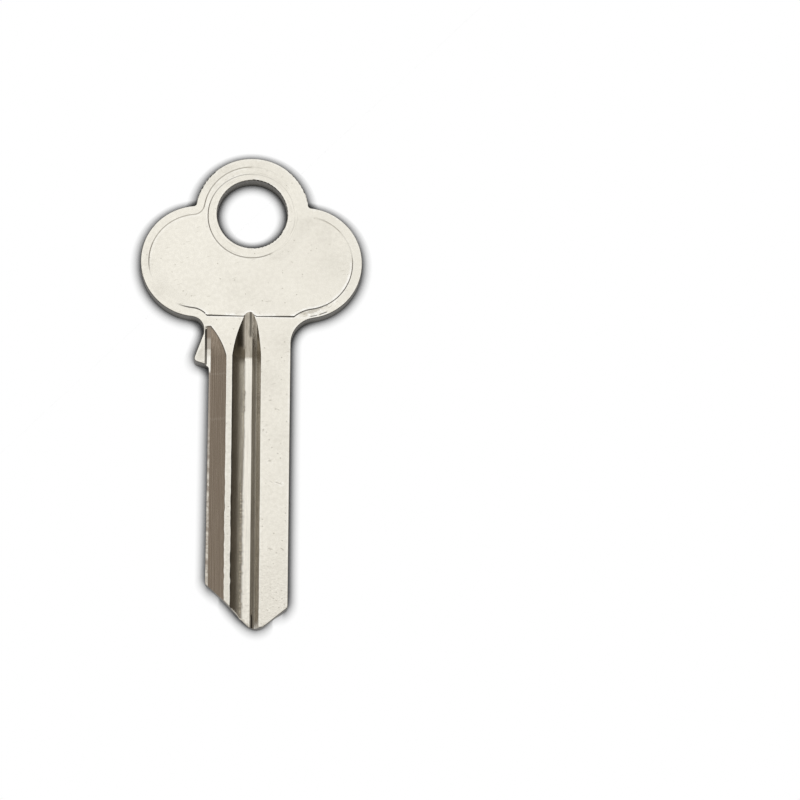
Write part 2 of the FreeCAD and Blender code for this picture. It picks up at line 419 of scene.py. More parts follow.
def addFacet(points, faces, places, triangles, normals, members, facing, outline, setup, rng):
    spacing = setup["spacing"]
    across = np.cross(facing, (0, 1, 0) if abs(facing[1]) < 0.9 else (1, 0, 0))
    across /= np.linalg.norm(across)
    along = np.cross(facing, across)
    frame2d = np.stack([across, along])
    numbers = sorted({number for chain in outline for number in chain})
    order = {number: k for k, number in enumerate(numbers)}
    unlifted = [points[n] if isinstance(points[n], np.ndarray) else points[n][0] for n in numbers]
    flat = np.array(unlifted) @ frame2d.T
    segments = [(order[a], order[b]) for chain in outline for a, b in zip(chain, chain[1:])]
    ends = np.array(segments)
    starts2d, ends2d = flat[ends[:, 0]], flat[ends[:, 1]]
    low, high = flat.min(0), flat.max(0)
    inner = np.zeros((0, 2))
    if min(high - low) > spacing:
        rowStep = spacing * math.sqrt(0.75)
        rows = []
        for k, height in enumerate(np.arange(low[1] + rowStep / 2, high[1], rowStep)):
            rows.append((height, np.arange(low[0] + spacing * (0.25 + k % 2 / 2), high[0], spacing)))
        inner = insideRows(rows, starts2d, ends2d)
        inner = inner + rng.uniform(-1, 1, inner.shape) * spacing * setup["jitter"]
        inner = farFrom(inner, starts2d, ends2d, spacing * setup["keepClear"])
    curved = any(normals[m][k] @ facing < setup["curvedCosine"] for m in members for k in range(3))
    base = places[triangles[members[0]][0]] @ facing
    numbers = list(numbers)
    for spot in inner:
        place = spot @ frame2d + base * facing
        lift = np.zeros(3)
        if curved:
            lift = innerStandOff(place, places, triangles, normals, members, facing)
        numbers.append(len(points))
        points.append((place, lift))
    everything = [Vector(p) for p in np.concatenate([flat, inner])]
    result = delaunay_2d_cdt(everything, segments, [], 0, 1e-7)
    source = [originals[0] if originals else -1 for originals in result[3]]
    spots = np.array([list(v) for v in result[0]])
    border = len(flat)
    for face in result[2]:
        a, b, c = spots[list(face)]
        area = (b[0] - a[0]) * (c[1] - a[1]) - (b[1] - a[1]) * (c[0] - a[0])
        ids = [source[k] for k in face]
        if min(ids) < 0:
            continue
        if max(ids) < border:
            longest = max(((b - a) ** 2).sum(), ((c - b) ** 2).sum(), ((a - c) ** 2).sum())
            middle = (a + b + c) / 3
            if abs(area) < setup["thinnest"] * longest:
                continue
            if len(insideRows([(middle[1], middle[:1])], starts2d, ends2d)) == 0:
                continue
        if area < 0:
            ids = ids[::-1]
        faces.append([numbers[k] for k in ids])


def farFrom(spots, starts, ends, distance):
    # the spots that lie at least this far from every edge
    kept = []
    run = ends - starts
    length = np.maximum((run ** 2).sum(1), 1e-18)
    for part in np.array_split(spots, max(1, len(spots) // 400)):
        toSpot = part[:, None] - starts[None]
        share = np.clip((toSpot * run).sum(2) / length, 0, 1)
        gap = np.linalg.norm(toSpot - share[..., None] * run, axis=2).min(1)
        kept.append(part[gap > distance])
    return np.concatenate(kept)


def innerStandOff(place, places, triangles, normals, members, facing):
    for member in members:
        corners = places[triangles[member]]
        whole = np.cross(corners[1] - corners[0], corners[2] - corners[0]) @ facing
        if abs(whole) < 1e-9:
            continue
        toCorner = corners - place
        weights = [np.cross(toCorner[(k + 1) % 3], toCorner[(k + 2) % 3]) @ facing / whole for k in range(3)]
        if min(weights) > -1e-6:
            return standOff(place, weights, corners, normals[member])
    return np.zeros(3)


# Where things lie on the key, in mm
layout = {
    "front": 2.1,
    "panelFloor": 2.04,
    "panelBottomY": -11.29,
    "panelBottomX": 4.9,          # the bottom line reaches this far to each side
    "panelInset": 0.5,            # every other stamped step lies further inside the outline than this
    "ringCentre": (0.0, 0.14),
    "ringRadius": 6.03,
    "raisedRingY": -0.2,
    "raisedRingRadius": 4.6,
    "lobeCentreX": 5.66,
    "lobeCentreY": -5.29,
    "lobeRadius": 6.1,
    "bowMiddleY": -5.3,
    "holeRim": 4.2,
    "runOutY": -15.5,
    "runOutEndY": -10.8,
    "skewDegrees": 0.25,
    "wideCutStartX": -4.69,
    "stopWallX": -4.67,
    "ridgeLeftX": -2.5,
    "ridgeRightX": -1.9,
    "flankFootX": -0.55,
    "floorEndX": 0.2,
    "stepEndX": 0.68,
    "grooveEndX": 1.16,
    "edgeGrooveX": (-4.72, -1.58),
    "landGrooveX": (1.1, 3.62),
    "ledgeX": -4.1,               # the ledge of the back lies outside this
    "ledgeZ": 0.28,
}


def straightX(x, y):
    # x across the blade, measured square to the milled cuts
    return x + (y - layout["runOutY"]) * math.sin(math.radians(layout["skewDegrees"]))


def insideBow(x, y):
    # how far inside the outline of the bow a place lies
    ring = layout["ringRadius"] - np.hypot(x - layout["ringCentre"][0], y - layout["ringCentre"][1])
    lobe = layout["lobeRadius"] - np.hypot(np.abs(x) - layout["lobeCentreX"], y - layout["lobeCentreY"])
    return np.maximum(ring, lobe)


def onRidge(x, y):
    across = straightX(x, y)
    return (across > layout["ridgeLeftX"] - 0.1) & (across < layout["ridgeRightX"] + 0.1)


def smooth(value, low, high):
    share = np.clip((value - low) / (high - low), 0, 1)
    return share * share * (3 - 2 * share)


def wave(rng, at, step, low=-50.0, high=10.0):
    # a smooth random line along y with knots this far apart
    knots = np.arange(low, high + step, step)
    heights = rng.uniform(-1, 1, len(knots))
    place = np.clip((at - low) / step, 0, len(knots) - 1.001)
    index = place.astype(int)
    share = place - index
    share = share * share * (3 - 2 * share)
    return heights[index] * (1 - share) + heights[index + 1] * share


# What years in a box and rough tools leave on the key: too small for the solid, in mm, and how strong the
# painted shade in the stamped steps is
marks = {
    "seamWidth": 0.115,
    "cornerExtra": 0.05,      # how much wider the stamped step gets toward the lower corners of the panel
    "cornerY": (-9.4, -10.6),
    "bottomSeamWidth": 0.19,
    "wornSpots": (      # x, y, reach, share of the stamped step gone
        (-9.7, -8.4, 2.4, 1.0), (-8.5, -9.5, 1.5, 1.0), (0.8, 5.1, 1.3, 0.85), (3.4, 4.1, 2.0, 1.0),
        (5.3, 2.2, 1.9, 1.0), (6.1, 0.6, 1.5, 1.0), (7.8, -0.6, 1.2, 0.5), (9.9, -3.0, 2.2, 0.6),
        (4.75, 0.3, 1.6, 0.9), (4.4, -2.4, 1.5, 1.0), (3.1, -3.9, 1.3, 1.0),
    ),
    "fadeReach": 1.6,         # a worn step's floor rises over this length
    "wallShift": 0.13,        # how far the wall at the stop stands back at its top, and leans in at its foot
    "wallLean": 0.04,
    "tipX": -0.10,            # rounded upper end of the centre groove
    "tipHalfWidth": 0.62,
    "tipRise": 0.36,
    "tipFromY": (-12.0, -11.3),
    "tipToY": (-11.0, -9.6),
    "flankSag": 0.06,
    "flankSlope": 0.889,
    "footRound": 0.36,
    "waviness": (       # x of the edge, change in the upper half, change at the point
        (-2.5, 0.008, 0.085), (-1.9, 0.010, 0.060), (-0.55, 0.022, 0.075), (0.2, 0.010, 0.040),
        (0.68, 0.006, 0.020), (1.14, 0.006, 0.020),
    ),
    "waves": ((0.65, 0.55), (0.35, 1.7)),     # share of the line and length between its knots
    "waveGrowthY": (-20.0, -40.0),
    "edgeReach": 0.16,        # metal this close to a wavy edge moves with it
    "footReach": 0.3,
    "footDrift": ((-44.0, -0.22), (-37.0, -0.24), (-31.0, -0.26), (-26.0, -0.05), (-22.0, 0.10),
                  (-19.5, 0.13), (-17.0, -0.04), (-15.0, 0.0)),       # y, and how far the flank's foot strays
    "dents": (          # x, y, length, width, depth, turn in degrees
        (5.55, -11.0, 0.8, 0.26, 0.05, 14), (6.35, -10.8, 1.0, 0.26, 0.07, 18),
        (7.15, -10.48, 0.9, 0.26, 0.07, 24), (7.95, -10.05, 0.7, 0.26, 0.05, 28),
        (8.6, -9.6, 0.5, 0.24, 0.04, 36), (2.2, -26.8, 0.3, 0.25, 0.03, 0),
        (1.47, -23.5, 0.3, 0.25, 0.03, 90), (-6.9, -9.0, 0.25, 0.2, 0.012, 20),
        (4.3, -5.2, 0.3, 0.18, 0.014, 120), (1.9, -9.6, 0.8, 0.14, 0.014, 8),
        (3.1, -29.1, 0.8, 0.14, 0.014, -18),
    ),
    "dullSpots": (      # x, y, reach, how dull
        (-5.3, -15.2, 1.2, 1.0), (-5.0, -12.6, 0.9, 0.5), (-4.6, 3.6, 1.2, 0.55), (-3.0, 5.0, 1.0, 0.6),
        (0.5, 5.2, 1.1, 0.35), (-9.8, -8.6, 1.0, 0.5), (-11.0, -5.6, 0.8, 0.4), (7.8, -2.2, 1.5, 0.35),
        (8.9, -5.2, 1.7, 0.45), (5.6, -1.2, 1.0, 0.35), (2.6, 3.6, 1.0, 0.35), (-1.5, -8.2, 1.9, 0.3),
        (3.4, -14.2, 1.2, 0.4), (1.8, -18.2, 1.6, 0.35), (3.2, -24.5, 1.5, 0.3), (6.6, -10.8, 0.8, 0.4),
    ),
    "ridgeDull": 0.35,
    "pittedSpots": (    # x, y of places on the land where the metal is pitted
        (2.14, -20.27), (2.88, -21.23), (1.44, -23.5), (2.22, -26.8), (3.08, -29.13),
        (2.34, -36.12), (3.59, -36.11), (4.28, -5.21), (-6.88, -8.99), (1.89, -9.52),
    ),
    "pittedReach": 0.5,
    "batteredPoint": (-30.0, -42.0, 0.9),     # from y, to y, how battered: the land toward the point
    "batteredRidge": (-24.0, -38.0, 1.1),
    "shadeLeast": 0.24,        # how much painted shade lies in the stamped steps, from here on
    "shadeLowerRight": 0.64,
    "shadeCorners": 0.66,
    "shadeRing": 0.42,
    "shadeBottom": 0.95,
    "shadeBack": 0.6,
    "shadeBackBottom": 0.9,
    # painted shade on the wall that the wide cut leaves in the shoulder stop
    "shadeWall": 0.9,
    "seed": 11,
}


def seamStrength(x, y, setup):
    # 1 where the stamped step is crisp, 0 where it has gone
    left = np.ones_like(x)
    for spotX, spotY, reach, gone in setup["wornSpots"]:
        away = np.hypot(x - spotX, y - spotY) / reach
        left *= 1 - gone * np.exp(-away ** 4)
    return left


def nearest(points, targets):
    # for each point its nearest target in plan, and how far away that is
    tree = KDTree(len(targets))
    for index, (x, y) in enumerate(targets[:, :2]):
        tree.insert((x, y, 0), index)
    tree.balance()
    found = [tree.find((x, y, 0)) for x, y in points[:, :2]]
    return np.array([f[1] for f in found]), np.array([f[2] for f in found])


def faceNormals(points, faces):
    a, b, c = (points[faces[:, k]] for k in range(3))
    cross = np.cross(b - a, c - a)
    return cross / np.maximum(np.linalg.norm(cross, axis=1), 1e-12)[:, None]


def seamFaces(points, faces, normals):
    # the narrow slopes of the stamped steps on both sides of the bow
    x, y, z = points[faces].mean(1).T
    bottomY = layout["panelBottomY"]
    inside = (insideBow(x, y) > layout["panelInset"]) & (np.hypot(x, y) > layout["holeRim"])
    inside &= y > bottomY + 0.1
    bottom = (np.abs(y - bottomY) < 0.14) & (np.abs(x) < layout["panelBottomX"]) & (normals[:, 1] > 0.5)
    corner = (np.abs(x) < 5.5) & (np.abs(x) > 4.3) & (y > bottomY) & (y < -10.2) & (z > 1)
    nearFace = (z > layout["panelFloor"] - 0.01) | (z < 0.16)
    return (np.abs(normals[:, 2]) < 0.97) & nearFace & (inside | bottom | corner)


def widenSeam(points, seamPoints, front, strength, setup):
    # the stamped step is a little wider than in the solid, and worn away in places
    top, floorZ, bottomY = layout["front"], layout["panelFloor"], layout["panelBottomY"]
    upper = seamPoints & (points[:, 2] > top - 0.02)
    lower = seamPoints & front & (np.abs(points[:, 2] - floorZ) < 0.01)
    which, gap = nearest(points[lower], points[upper])
    away = points[lower][:, :2] - points[upper][which][:, :2]
    away /= np.maximum(np.linalg.norm(away, axis=1), 1e-9)[:, None]
    y = points[lower][:, 1]
    width = setup["seamWidth"] + setup["cornerExtra"] * smooth(y, *setup["cornerY"])
    width = np.where(y < bottomY + 0.1, setup["bottomSeamWidth"], width)
    points[lower, :2] = points[upper][which][:, :2] + away * np.maximum(gap, width)[:, None]
    floor = front & (np.abs(points[:, 2] - floorZ) < 0.01) & (points[:, 1] > bottomY + 0.02)
    gap = nearest(points[floor], points[upper])[1]
    rise = (top - floorZ) * (1 - strength[floor])
    points[floor, 2] += rise * (1 - smooth(gap, 0.1, setup["fadeReach"]))


def roundTip(points, front, setup):
    # rounded end of the centre groove
    x, y, z = points.T
    bulge = setup["tipRise"] * np.clip(1 - ((x - setup["tipX"]) / setup["tipHalfWidth"]) ** 2, 0, 1)
    fade = smooth(y, *setup["tipFromY"]) * (1 - smooth(y, *setup["tipToY"]))
    points[front, 1] += (bulge * fade)[front]


def hollowFlank(points, front, setup):
    # the flank toward the ridge is hollow, and its foot is rounded into the floor
    x, y, z = points.T
    across = straightX(x, y)
    share = (across - layout["ridgeRightX"]) / (layout["flankFootX"] - layout["ridgeRightX"])
    milled = front & (y < layout["runOutEndY"])
    flank = milled & (share > 0) & (share < 1) & (z < layout["front"] - 0.01)
    sag = setup["flankSag"] * 4 * share * (1 - share) * np.clip((layout["front"] - z) / 0.3, 0, 1)
    points[flank, 2] -= sag[flank]
    steep, reach = setup["flankSlope"], setup["footRound"]
    foot = across - layout["flankFootX"]
    raised = steep * (reach - foot) ** 2 / (4 * reach) - steep * np.maximum(-foot, 0)
    raised *= np.clip((layout["front"] - z) / 0.5, 0, 1)
    rounded = milled & (np.abs(foot) < reach) & (z < layout["front"] - 0.01)
    points[rounded, 2] += raised[rounded]


def waveEdges(points, front, setup):
    # the milled edges wander a little, most of all toward the point
    rng = np.random.default_rng(setup["seed"])
    x, y, z = points.T
    across = straightX(x, y)
    blade = front & (y < layout["runOutY"] + 1)
    growth = smooth(y, *setup["waveGrowthY"])
    fade = 1 - smooth(y, layout["runOutY"] - 0.5, layout["runOutY"] + 1)
    driftY, drift = np.array(setup["footDrift"]).T
    for edgeX, upperHalf, atPoint in setup["waviness"]:
        line = sum(share * wave(rng, y, step) for share, step in setup["waves"])
        move = line * (upperHalf + (atPoint - upperHalf) * growth)
        reach = setup["edgeReach"]
        if edgeX == layout["flankFootX"]:
            move = move + np.interp(y, driftY, drift)
            reach = setup["footReach"]
        inReach = np.exp(-((across - edgeX) / reach) ** 2)
        points[blade, 0] += (move * inReach * fade)[blade]


def leanWall(points, front, setup):
    # the wall that the wide cut leaves in the shoulder stop leans a little
    x, y, z = points.T
    wall = front & (np.abs(straightX(x, y) - layout["stopWallX"]) < 0.02) & (y < layout["runOutEndY"])
    lean = np.clip((layout["front"] - z[wall]) / 0.5, 0, 1)
    points[wall, 0] += setup["wallLean"] * lean - setup["wallShift"] * (1 - lean)


def pressDents(points, front, setup):
    x, y, z = points.T
    for dentX, dentY, length, width, depth, turn in setup["dents"]:
        c, s = math.cos(math.radians(turn)), math.sin(math.radians(turn))
        along = (x - dentX) * c + (y - dentY) * s
        aside = (y - dentY) * c - (x - dentX) * s
        hollow = depth * np.exp(-(along / length * 2) ** 4 - (aside / width * 2) ** 2)
        flat = front & (z > layout["panelFloor"] - 0.01)
        points[flat, 2] -= hollow[flat]


def wearPoints(points, faces, setup):
    points = points.copy()
    seam = seamFaces(points, faces, faceNormals(points, faces))
    seamPoints = np.zeros(len(points), bool)
    seamPoints[np.unique(faces[seam])] = True
    front = points[:, 2] > 1
    strength = seamStrength(points[:, 0], points[:, 1], setup)
    widenSeam(points, seamPoints, front, strength, setup)
    for wearing in (roundTip, hollowFlank, waveEdges, leanWall, pressDents):
        wearing(points, front, setup)
    return points, seam, strength


# How a facet is told to one finish or another: tilts are parts of its normal, depths are in mm
finishSetup = {
    "sideTilt": 0.5,          # what faces up or down less than this is a sheared side
    "edgeTilt": 0.86,         # and so is the broken front edge, which lies in this depth
    "edgeDepth": 0.12,
    "cutTilt": 0.3,           # milled metal faces up or down more than this, and never toward the bow
    "cutAlong": 0.1,
    "cutDepth": 0.004,
    "flatTilt": 0.99,         # flat metal in this depth belongs to the face
    "flatDepth": 0.09,
    "wallTop": 1.95,
}


def regionsOf(points, faces, normals, setup):
    # 0 flat plated face, 1 milled groove, 2 wide cut, 3 sheared side
    x, y, z = points[faces].mean(1).T
    across = straightX(x, y)
    along, up = normals[:, 1], normals[:, 2]
    top = layout["front"]
    edge = (up > 0) & (up < setup["edgeTilt"]) & (z > top - setup["edgeDepth"])
    region = np.where((np.abs(up) < setup["sideTilt"]) | edge, 3, 0)
    cut = (up > setup["cutTilt"]) & (along < setup["cutAlong"]) & (z < top - setup["cutDepth"])
    cut &= y < layout["runOutEndY"] + 0.5
    cut &= (across > layout["wideCutStartX"]) & (across < layout["grooveEndX"])
    cut &= ~((up > setup["flatTilt"]) & (z > top - setup["flatDepth"]))
    cut &= ~((across < layout["stopWallX"] + 0.01) & (z > setup["wallTop"]))
    region[cut] = 1
    region[cut & (across < layout["ridgeLeftX"] + 0.02)] = 2
    backCut = np.zeros(len(faces), bool)
    for low, high in (layout["edgeGrooveX"], layout["landGrooveX"]):
        backCut |= (across > low) & (across < high)
    backCut &= (up < -setup["cutTilt"]) & (along < setup["cutAlong"]) & (z > setup["cutDepth"])
    backCut &= y < layout["runOutEndY"]
    backCut &= ~((across < layout["ledgeX"]) & (z < layout["ledgeZ"]) & (y > layout["runOutY"]))
    region[backCut] = 1
    return region


def edgeHighlight(points, faces, normals, strength, setup):
    # painted highlight along the edges: the outline, brighter toward the right, the stamped steps and the
    # metal at their foot
    rng = np.random.default_rng(setup["seed"] + 1)
    x, y, z = points.T
    top, floorZ, bottomY = layout["front"], layout["panelFloor"], layout["panelBottomY"]
    slope = np.zeros(len(points))
    for k in range(3):
        np.maximum.at(slope, faces[:, k], 1 - np.abs(normals[:, 2]))
    rim = ((z > top - 0.003) | (z < 0.003)) & (slope > 0.0005)
    turns = np.degrees(np.arctan2(y - layout["bowMiddleY"], x)) / 6
    uneven = 0.6 + 0.4 * wave(rng, turns, 0.5, -31.0, 31.0)
    highlight = np.where(rim, 0.5 + 0.5 * smooth(x, -4, 9), 0.0) * uneven
    bottomLine = (np.abs(y - bottomY) < 0.02) & (np.abs(x) < layout["panelBottomX"]) & (slope > 0.01)
    highlight[bottomLine & (z > floorZ - 0.01)] = 1.0
    foot = (slope > 0.05) & (np.abs(z - floorZ) < 0.012)
    floor = (z > floorZ - 0.01) & (z < top - 0.01) & (y > bottomY + 0.02)
    gap = nearest(points[floor], points[foot])[1]
    level = np.maximum(0.3 + 0.7 * smooth(x, 2, 6) * smooth(y, -3.5, -7.5), smooth(y, -10.0, -10.9))
    highlight[floor] = np.maximum(highlight[floor], (level * strength)[floor] * (1 - smooth(gap, 0.1, 0.26)))
    stamped = rim & (np.hypot(x, y) > layout["holeRim"]) & (y > bottomY + 0.1)
    stamped &= insideBow(x, y) > layout["panelInset"]
    highlight[stamped] *= 0.4 * strength[stamped]
    return highlight


def batteredMetal(points, setup):
    x, y, z = points.T
    battered = 0.15 + 0.15 * smooth(y, -12, -16)
    start, end, most = setup["batteredRidge"]
    ridge = onRidge(x, y) & (y < -13)
    battered = np.maximum(battered, np.where(ridge, 0.3 + most * smooth(y, start, end), 0))
    start, end, most = setup["batteredPoint"]
    land = straightX(x, y) > layout["ridgeRightX"]
    battered = np.maximum(battered, np.where(land, smooth(y, start, end) * most, 0))
    for spotX, spotY in setup["pittedSpots"]:
        away = np.hypot(x - spotX, y - spotY) / setup["pittedReach"]
        battered = np.maximum(battered, 0.9 * np.exp(-away ** 2))
    return battered


def flankPaintedSheen(points):
    # painted sheen: the flank shines toward its foot, and so does the edge of the step
    x, y, z = points.T
    across = straightX(x, y)
    sheen = smooth(across - layout["flankFootX"], -0.87, -0.1)
    sheen = sheen * smooth(layout["floorEndX"] - across, 0, 0.1) * smooth(-y, 15.3, 16.5)
    return sheen + 0.95 * np.exp(-((across - layout["stepEndX"]) / 0.08) ** 2)


def cutWall(points, faces, normals):
    # the wall that the wide cut leaves in the shoulder stop
    x, y, z = points[faces].mean(1).T
    across, start = straightX(x, y), layout["wideCutStartX"]
    near = (across > start - marks["wallShift"]) & (across < start + 0.1)
    upright = (np.abs(normals[:, 2]) < 0.5) & (normals[:, 0] > 0.5)
    return near & upright & (z > 1.4) & (y < layout["runOutEndY"])


def seamShade(points, faces, seam, strength, setup):
    # painted shade in the stamped steps lies deepest along the bottom line, then toward it, and least along
    # the upper rim
    x, y, z = points[faces].mean(1).T
    atBottom = y < layout["panelBottomY"] + 0.2
    lowerRight = smooth(y, -4.5, -8.5) * smooth(x, 1, 4)
    paintedShade = setup["shadeLeast"] + setup["shadeLowerRight"] * lowerRight
    paintedShade = np.maximum(paintedShade, setup["shadeLeast"] + setup["shadeCorners"] * smooth(y, -9.2, -10.4))
    paintedShade = np.where(atBottom, setup["shadeBottom"], paintedShade)
    onRing = np.abs(np.hypot(x, y - layout["raisedRingY"]) - layout["raisedRingRadius"]) < 0.2
    paintedShade = np.where(onRing, setup["shadeRing"], paintedShade) * strength[faces].mean(1) ** 0.7
    back = np.where(atBottom, setup["shadeBackBottom"], setup["shadeBack"])
    return np.where(z > 1, paintedShade, back) * seam


def dullness(points, setup):
    # broad soft patches where the plating has lost its shine, on the front
    x, y, z = points.T
    dull = np.zeros(len(points))
    for spotX, spotY, reach, amount in setup["dullSpots"]:
        away = np.hypot(x - spotX, y - spotY) / reach
        dull = np.maximum(dull, amount * np.exp(-away ** 2))
    dull = np.where(onRidge(x, y) & (y < layout["runOutY"]), setup["ridgeDull"], dull)
    return dull * (z > 1)


def addValues(mesh, name, domain, values):
    layer = mesh.attributes.new(name, "FLOAT", domain)
    layer.data.foreach_set("value", np.asarray(values, float))


def softenFoot(mesh, points):
    # the flank of the centre groove runs into its floor without a crisp line, apart from its upper end
    ends = np.zeros(len(mesh.edges) * 2, int)
    mesh.edges.foreach_get("vertices", ends)
    middle = points[ends.reshape(-1, 2)].mean(1)
    across = straightX(middle[:, 0], middle[:, 1])
    foot = (across > layout["ridgeRightX"] + 0.15) & (across < layout["floorEndX"] - 0.12)
    foot &= (middle[:, 2] > 0.6) & (middle[:, 2] < 1.8) & (middle[:, 1] < layout["runOutY"] - 0.5)
    layer = mesh.attributes.get("sharp_edge")
    sharp = np.zeros(len(mesh.edges), bool)
    layer.data.foreach_get("value", sharp)
    sharp[foot] = False
    layer.data.foreach_set("value", sharp)


def makeKey(node, setup):
    points, faces = denseMesh(node, setup)
    points, seam, strength = wearPoints(points, faces, marks)
    points = np.clip(points, np.array(cadLow) / millimetre, np.array(cadHigh) / millimetre)
    normals = faceNormals(points, faces)
    region = regionsOf(points, faces, normals, finishSetup)
    wall = cutWall(points, faces, normals)
    region[seam | wall] = 0
    mesh = bpy.data.meshes.new("keyBlankSurface")
    mesh.from_pydata((points * millimetre).tolist(), [], faces.tolist())
    key = bpy.data.objects.new("keyBlankSurface", mesh)
    scene.collection.objects.link(key)
    mesh.polygons.foreach_set("use_smooth", [True] * len(mesh.polygons))
    mesh.set_sharp_from_angle(angle=math.radians(setup["sharpDegrees"]))
    softenFoot(mesh, points)
    for make in (makePlate, makeGroove, makeWideCut, makeSheared):
        mesh.materials.append(make())
    mesh.polygons.foreach_set("material_index", region.astype(np.int32))
    # painted shade in the stamped steps and on the wall in the stop
    paintedShade = seamShade(points, faces, seam, strength, marks)
    addValues(mesh, "seam", "FACE", np.where(wall, marks["shadeWall"], paintedShade))
    addValues(mesh, "dull", "POINT", dullness(points, marks))
    # painted highlight along the edges
    addValues(mesh, "highlight", "POINT", edgeHighlight(points, faces, normals, strength, marks))
    addValues(mesh, "battered", "POINT", batteredMetal(points, marks))
    # painted sheen on the flank's foot and the step's edge
    addValues(mesh, "sheen", "POINT", flankPaintedSheen(points))
    mesh.update()
    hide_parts("key_blank")
    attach(key, "root")
    return key


def startGroup(name, inputs, output):
    group = bpy.data.node_groups.new(name, "ShaderNodeTree")
    for title, value in inputs.items():
        group.interface.new_socket(title, in_out="INPUT", socket_type="NodeSocketFloat").default_value = value
    group.interface.new_socket(output, in_out="OUTPUT", socket_type="NodeSocketFloat")
    return group, addNode(group, "NodeGroupInput").outputs, addNode(group, "NodeGroupOutput").inputs


def useGroup(tree, group, **values):
    node = addNode(tree, "ShaderNodeGroup")
    node.node_tree = group
    for title, value in values.items():
        feed(tree, node.inputs[title], value)
    return node.outputs[0]


def placeAcross(tree, across, along, turn=0.0):
    # the place on the key, with x and z divided by one length and y by another, both in mm
    where = addNode(tree, "ShaderNodeTexCoord")
    turned = addNode(tree, "ShaderNodeVectorRotate", rotation_type="Z_AXIS")
    feed(tree, turned.inputs["Vector"], where.outputs["Object"])
    feed(tree, turned.inputs["Angle"], turn)
    sizes = addNode(tree, "ShaderNodeCombineXYZ")
    for socket, length in zip(sizes.inputs, (across, along, across)):
        feed(tree, socket, calc(tree, "DIVIDE", 1 / millimetre, length))
    scaled = addNode(tree, "ShaderNodeVectorMath", operation="MULTIPLY")
    feed(tree, scaled.inputs[0], turned.outputs[0])
    feed(tree, scaled.inputs[1], sizes.outputs[0])
    return scaled.outputs[0]


def placeOnKey(tree):
    # x, y and z on the key, in mm
    where = addNode(tree, "ShaderNodeTexCoord")
    scaled = addNode(tree, "ShaderNodeVectorMath", operation="SCALE", Scale=1 / millimetre)
    feed(tree, scaled.inputs[0], where.outputs["Object"])
    parts = addNode(tree, "ShaderNodeSeparateXYZ")
    feed(tree, parts.inputs[0], scaled.outputs[0])
    return parts.outputs


def squareX(tree, x, y):
    # x across the blade, measured square to the milled cuts
    along = calc(tree, "SUBTRACT", y, layout["runOutY"])
    return calc(tree, "ADD", x, times(tree, along, math.sin(math.radians(layout["skewDegrees"]))))


def apart(tree, value, middle):
    return calc(tree, "ABSOLUTE", calc(tree, "SUBTRACT", value, middle))


def contrasted(group, value, contrast):
    return spread(group, value, calc(group, "SUBTRACT", 0.5, contrast), calc(group, "ADD", 0.5, contrast))


def makeClouds():
    # soft uneven patches, 0 to 1
    group, given, out = startGroup("uneven", {"Size": 1.0, "Contrast": 0.25}, "Patch")
    noise = addNode(group, "ShaderNodeTexNoise", Scale=1.0, Detail=3.0, Roughness=0.55)
    feed(group, noise.inputs["Vector"], placeAcross(group, given["Size"], given["Size"]))
    feed(group, out["Patch"], contrasted(group, noise.outputs[0], given["Contrast"]))
    return group


def makeToolLines():
    # streaks that a cutter leaves along its path, 0 to 1
    group, given, out = startGroup("toolLines", {"Width": 0.1, "Length": 5.0, "Contrast": 0.25}, "Line")
    noise = addNode(group, "ShaderNodeTexNoise", Scale=1.0, Detail=2.0, Roughness=0.6)
    feed(group, noise.inputs["Vector"], placeAcross(group, given["Width"], given["Length"]))
    feed(group, out["Line"], contrasted(group, noise.outputs[0], given["Contrast"]))
    return group


def makePits():
    # small separate marks: stretched ones are scratches
    inputs = {"Width": 0.4, "Length": 0.4, "Share": 0.1, "Turn": 0.0, "Reach": 0.45}
    group, given, out = startGroup("knocks", inputs, "Knock")
    cells = addNode(group, "ShaderNodeTexVoronoi", Scale=1.0, Randomness=1.0)
    feed(group, cells.inputs["Vector"], placeAcross(group, given["Width"], given["Length"], given["Turn"]))
    chance = addNode(group, "ShaderNodeSeparateColor")
    feed(group, chance.inputs[0], cells.outputs["Color"])
    picked = calc(group, "LESS_THAN", chance.outputs[0], given["Share"])
    depth = spread(group, cells.outputs["Distance"], given["Reach"], 0.0)
    feed(group, out["Knock"], calc(group, "MULTIPLY", picked, depth))
    return group


def makeScratch():
    # one short mark on the front at a named place, 0 to 1, with a ragged outline
    inputs = {"X": 0.0, "Y": 0.0, "Turn": 0.0, "Length": 0.6, "Width": 0.1}
    group, given, out = startGroup("scratch", inputs, "Mark")
    x, y, z = placeOnKey(group)
    place = addNode(group, "ShaderNodeCombineXYZ")
    feed(group, place.inputs[0], calc(group, "SUBTRACT", x, given["X"]))
    feed(group, place.inputs[1], calc(group, "SUBTRACT", y, given["Y"]))
    turned = addNode(group, "ShaderNodeVectorRotate", rotation_type="Z_AXIS", invert=True)
    feed(group, turned.inputs["Vector"], place.outputs[0])
    feed(group, turned.inputs["Angle"], given["Turn"])
    own = addNode(group, "ShaderNodeSeparateXYZ")
    feed(group, own.inputs[0], turned.outputs[0])
    along = calc(group, "DIVIDE", calc(group, "ABSOLUTE", own.outputs["X"]), given["Length"])
    aside = calc(group, "DIVIDE", calc(group, "ABSOLUTE", own.outputs["Y"]), given["Width"])
    ragged = useGroup(group, clouds, Size=0.15, Contrast=0.3)
    reach = calc(group, "ADD", along, times(group, ragged, 0.2))
    inside = times(group, spread(group, reach, 0.6, 0.35), spread(group, aside, 0.75, 0.25))
    feed(group, out["Mark"], times(group, inside, spread(group, z, 1.5, 1.9)))
    return group


